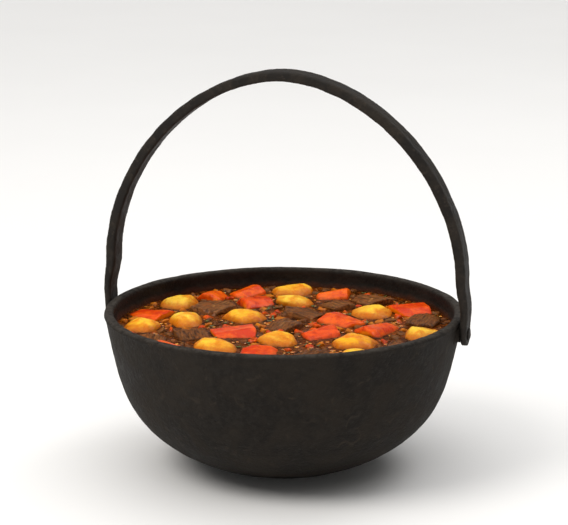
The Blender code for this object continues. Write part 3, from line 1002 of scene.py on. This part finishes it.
def oil_finish():
    """Beads of orange oil."""
    f = Finish("orange_oil", Roughness=0.06, IOR=1.46)
    f.set(Coat_Weight=1.0, Coat_Roughness=0.03, Subsurface_Weight=0.3, Subsurface_Scale=0.001)
    tint = f.attribute("tint", "Fac")
    colour = f.mix(tint, (0.42, 0.095, 0.008), (0.80, 0.30, 0.02))
    f.set(Base_Color=f.mix(f.span(f.noise(600, 2, 0.5), 0.4, 0.7, 0, 0.4), colour, (0.9, 0.42, 0.05)))
    return f.material


def make_small_things(surface, finishes):
    """Everything on the broth that is smaller than a berry."""

    def add(name, spots, make, kind, seed):
        scattered(name, spots, make, finishes[kind], seed)

    def dice(chance):
        return crumb(chance, SCRAP_MOST)

    def beef_dice(chance):
        return crumb(chance, BEEF_SCRAP_MOST)

    spots = surface.spots(SCRAPS, clear=0.0026, apart=0.0080, seed=11)
    add("carrot_bits", spots[0::4], dice, "carrot", seed=12)
    add("potato_bits", spots[1::4], dice, "potato", seed=13)
    add("beef_bits", spots[2::4] + spots[3::4], beef_dice, "beef", seed=14)
    spots = surface.spots(THREADS, clear=0.0020, apart=0.0080, seed=15)
    add("beef_threads", spots, shred, "beef", seed=16)
    spots = surface.spots(FLAKES, clear=0.0014, apart=0.0060, seed=17)
    add("herb_flakes", spots, flake, "herb", seed=18)
    spots = surface.spots(BEADS, clear=0.0012, apart=0.0030, seed=19)
    add("oil_beads", spots, bead, "oil", seed=20)


# --- Studio -------------------------------------------------------------------


def make_floor():
    f = Finish("pale_floor", Roughness=0.75)
    f.shader.inputs["Specular IOR Level"].default_value = 0.2
    tone = f.mix(f.noise(2.0, 3, 0.5), (0.80, 0.795, 0.785), (0.84, 0.835, 0.825))
    f.set(Base_Color=tone)
    half = FLOOR_HALF
    corners = [(-half, -half, 0), (half, -half, 0), (half, half, 0), (-half, half, 0)]
    mesh = mesh_of(corners, [(0, 1, 2, 3)], "floor")
    mesh.materials.append(f.material)
    floor = bpy.data.objects.new("floor", mesh)
    bpy.context.scene.collection.objects.link(floor)


def add_light(name, place, target, size, power, colour=(1, 1, 1)):
    light = bpy.data.lights.new(name, "AREA")
    light.shape = "DISK"
    light.size = size
    light.energy = power
    light.color = colour
    obj = bpy.data.objects.new(name, light)
    obj.location = place
    obj.rotation_euler = (Vector(place) - Vector(target)).to_track_quat("Z", "Y").to_euler()
    bpy.context.scene.collection.objects.link(obj)


def make_sky():
    """Soft white surroundings, bright overhead and at the horizon, and dimmer in between."""
    world = bpy.data.worlds.new("soft_white")
    world.use_nodes = True
    tree = world.node_tree
    background = tree.nodes["Background"]
    background.inputs["Color"].default_value = (1.0, 0.993, 0.985, 1.0)
    upward = tree.nodes.new("ShaderNodeSeparateXYZ")
    tree.links.new(tree.nodes.new("ShaderNodeTexCoord").outputs["Generated"], upward.inputs[0])
    ramp = tree.nodes.new("ShaderNodeValToRGB")
    tree.links.new(upward.outputs["Z"], ramp.inputs[0])
    stops = ramp.color_ramp
    stops.interpolation = "EASE"
    stops.elements.remove(stops.elements[1])
    for index, (rise, light) in enumerate(SKY):
        stop = stops.elements.new(rise) if index else stops.elements[0]
        stop.color = (light, light, light, 1.0)
    tree.links.new(ramp.outputs["Color"], background.inputs["Strength"])
    bpy.context.scene.world = world


def make_studio():
    make_floor()
    make_sky()
    middle = (0, 0, RIM_TOP)
    add_light("key", (-1.1, -1.3, 1.9), middle, 1.3, 31, (1.0, 0.97, 0.93))
    add_light("back", (1.0, 1.3, 2.1), middle, 1.2, 11)
    bpy.context.scene.view_settings.view_transform = "Standard"


def make_camera():
    rim = Vector((0, 0, RIM_TOP))
    around = Vector((math.sin(VIEW_AZIMUTH), -math.cos(VIEW_AZIMUTH), 0))
    place = rim + around * CAMERA_BACK + Vector((0, 0, CAMERA_ABOVE_RIM))
    low, high = cad_box
    target = (low + high) / 2 + Vector((0, 0, AIM_ABOVE_MIDDLE))
    camera = bpy.data.cameras.new("camera")
    camera.lens = LENS
    camera.clip_end = 50
    obj = bpy.data.objects.new("camera", camera)
    obj.location = place
    obj.rotation_euler = (place - target).to_track_quat("Z", "Y").to_euler()
    bpy.context.scene.collection.objects.link(obj)
    bpy.context.scene.camera = obj


def main():
    make_camera()
    make_studio()
    cast_iron = cast_iron_finish()
    forged_iron = forged_iron_finish()
    make_pot(cast_iron)
    make_bosses(cast_iron)
    make_bail(forged_iron)
    make_rivet(-1, "left", forged_iron)
    make_rivet(1, "right", forged_iron)
    finishes = {
        "potato": potato_finish(),
        "carrot": carrot_finish(),
        "beef": beef_finish(),
        "pepper": pepper_finish(),
        "herb": herb_finish(),
        "oil": oil_finish(),
    }
    chunks = []
    for node in sorted(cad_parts):
        kind = node.split("_")[0]
        if kind in KINDS:
            chunks.append(make_chunk(kind, node, finishes[kind], len(chunks)))
    surface = Surface(chunks)
    make_broth(surface, broth_finish())
    make_small_things(surface, finishes)


main()
